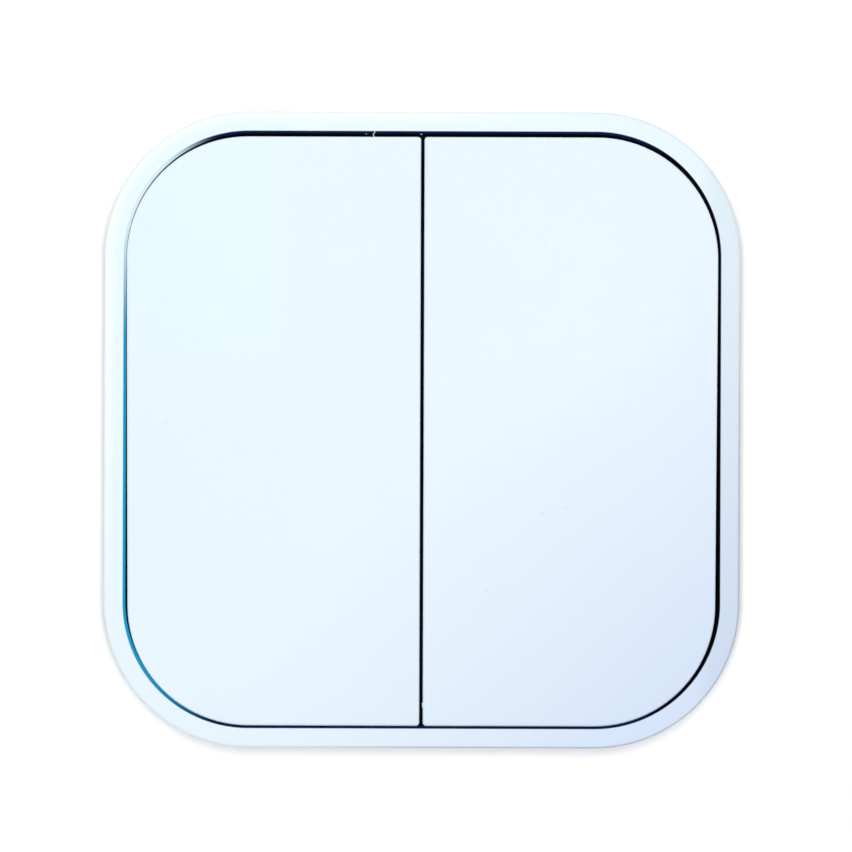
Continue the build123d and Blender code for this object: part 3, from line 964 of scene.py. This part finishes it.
@dataclass(frozen=True)
class Card:
    """A coloured card in front of the switch, which only shows as a reflection in the rockers."""

    low: Span = (-0.160, -0.088)
    high: Span = (-0.073, 0.045)
    distance: float = 1.2
    color: Color = (0.0, 1.0, 0.7)
    strength: float = 0.9
    cloud: Color = (0.01, 0.02, 0.02)
    cloud_scale: float = 6.0
    roughness: float = 0.9

    def build(self) -> None:
        """One glowing quad that faces the switch."""
        graph = Graph("card_cyan")
        graph.put("Base Color", BLACK)
        graph.paint(graph.noise(self.cloud_scale), self.cloud)
        graph.put("Roughness", self.roughness)
        graph.put("Emission Color", self.color)
        graph.put("Emission Strength", self.strength)
        x, z = np.meshgrid([self.low[0], self.high[0]], [self.low[1], self.high[1]])
        points = np.stack([x, np.full_like(x, -self.distance), z], axis=-1)
        faces = grid_faces(2, 2, ring=False)[:, ::-1].tolist()
        card = mesh_object("card", points, faces, graph.material, smooth=False)


@dataclass(frozen=True)
class SoftBox:
    """A rectangular soft light that looks at a point."""

    name: str
    place: Point
    width: float
    height: float
    radiance: Color
    target: Point = (0.0, 0.0, 0.0)
    mirrored: bool = False

    def build(self) -> None:
        """Make the light.

        Its power is pi times area times radiance, split into colour and energy.
        """
        peak = max(self.radiance)
        light = bpy.data.lights.new(self.name, "AREA")
        light.shape = "RECTANGLE"
        light.size, light.size_y = self.width, self.height
        light.color = tuple(channel / peak for channel in self.radiance)
        light.energy = np.pi * self.width * self.height * peak
        lamp = bpy.data.objects.new(self.name, light)
        lamp.location = self.place
        sight = Vector(self.target) - Vector(self.place)
        lamp.rotation_euler = sight.to_track_quat("-Z", "Y").to_euler()
        lamp.visible_glossy = lamp.visible_camera = self.mirrored
        bpy.context.scene.collection.objects.link(lamp)


@dataclass(frozen=True)
class Sky:
    """Even pale light from all round."""

    color: Color = (0.30, 0.30, 0.31)

    def build(self) -> None:
        """Make the world with one background."""
        world = bpy.data.worlds.new("studio")
        world.use_nodes = True
        tree = world.node_tree
        tree.nodes.clear()
        output = tree.nodes.new("ShaderNodeOutputWorld")
        background = tree.nodes.new("ShaderNodeBackground")
        background.inputs["Color"].default_value = (*self.color, 1.0)
        tree.links.new(background.outputs["Background"], output.inputs["Surface"])
        bpy.context.scene.world = world


@dataclass(frozen=True)
class Studio:
    """Plain soft light and the camera of the photograph.

    The widest depth is how far behind its foremost point the panel is widest.
    """

    camera_distance: float = 0.400
    camera_roll: float = 0.0034
    widest_depth: float = 0.0003
    sensor_mm: float = 36.0
    clip: Span = (0.01, 10.0)
    lamps: tuple[SoftBox, ...] = (
        SoftBox("key", (-0.005, -1.0, 0.079), 0.25, 0.37, (28.0, 28.0, 28.0)),
        SoftBox("back_fill", (0.25, 0.6, 0.35), 0.4, 0.4, (7.0, 7.0, 7.0), mirrored=True),
    )

    def aim(self, low: Vector, high: Vector) -> None:
        """Set the camera square to the wall, with the photograph's lens, roll and shift.

        The camera's axis meets the panel's middle. The lens is the sensor's width times the
        distance over the width that the picture takes in, and the shift is the middle's place in it.

        Args:
            low: Lowest corner of the cover frame.
            high: Highest corner of the cover frame.
        """
        data = bpy.data.cameras.new("camera")
        camera = bpy.data.objects.new("camera", data)
        bpy.context.scene.collection.objects.link(camera)
        scale = PANEL_WIDTH_PX / (high.x - low.x)
        reach = self.camera_distance + self.widest_depth
        middle = (low + high) / 2
        camera.location = (middle.x, low.y - self.camera_distance, middle.z)
        camera.rotation_euler = (np.pi / 2, -self.camera_roll, 0.0)
        data.sensor_width = self.sensor_mm
        data.lens = self.sensor_mm * scale * reach / PHOTO_SIDE_PX
        data.shift_x = (PHOTO_SIDE_PX / 2 - PANEL_CENTRE_PX[0]) / PHOTO_SIDE_PX
        data.shift_y = (PANEL_CENTRE_PX[1] - PHOTO_SIDE_PX / 2) / PHOTO_SIDE_PX
        data.clip_start, data.clip_end = self.clip
        bpy.context.scene.camera = camera

    def light(self) -> None:
        """Set the view, the sky, the reflected card, a broad key and a light at the back."""
        bpy.context.scene.view_settings.view_transform = "Standard"
        Sky().build()
        Card().build()
        for lamp in self.lamps:
            lamp.build()


def main() -> None:
    """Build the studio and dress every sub-assembly."""
    logging.basicConfig(level=logging.INFO, format="%(name)s: %(message)s")
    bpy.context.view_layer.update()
    frame_low, frame_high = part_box("cover_frame")
    panel = RoundedSquare((frame_high.x - frame_low.x) / 2, PANEL_CORNER)
    studio = Studio()
    studio.aim(frame_low, frame_high)
    studio.light()
    Board(panel).build()
    LOG.info("camera, lights and board set")
    shop = Workshop()
    Cover(shop, panel).dress()
    LOG.info("cover frame and rockers dressed")
    Carrier(shop).dress()
    LOG.info("support frame, mounting plate, housing and screws dressed")
    for side in Side:
        Mechanism(shop, side).dress()
        LOG.info("%s switch dressed", side.value)


if __name__ == "__main__":
    main()
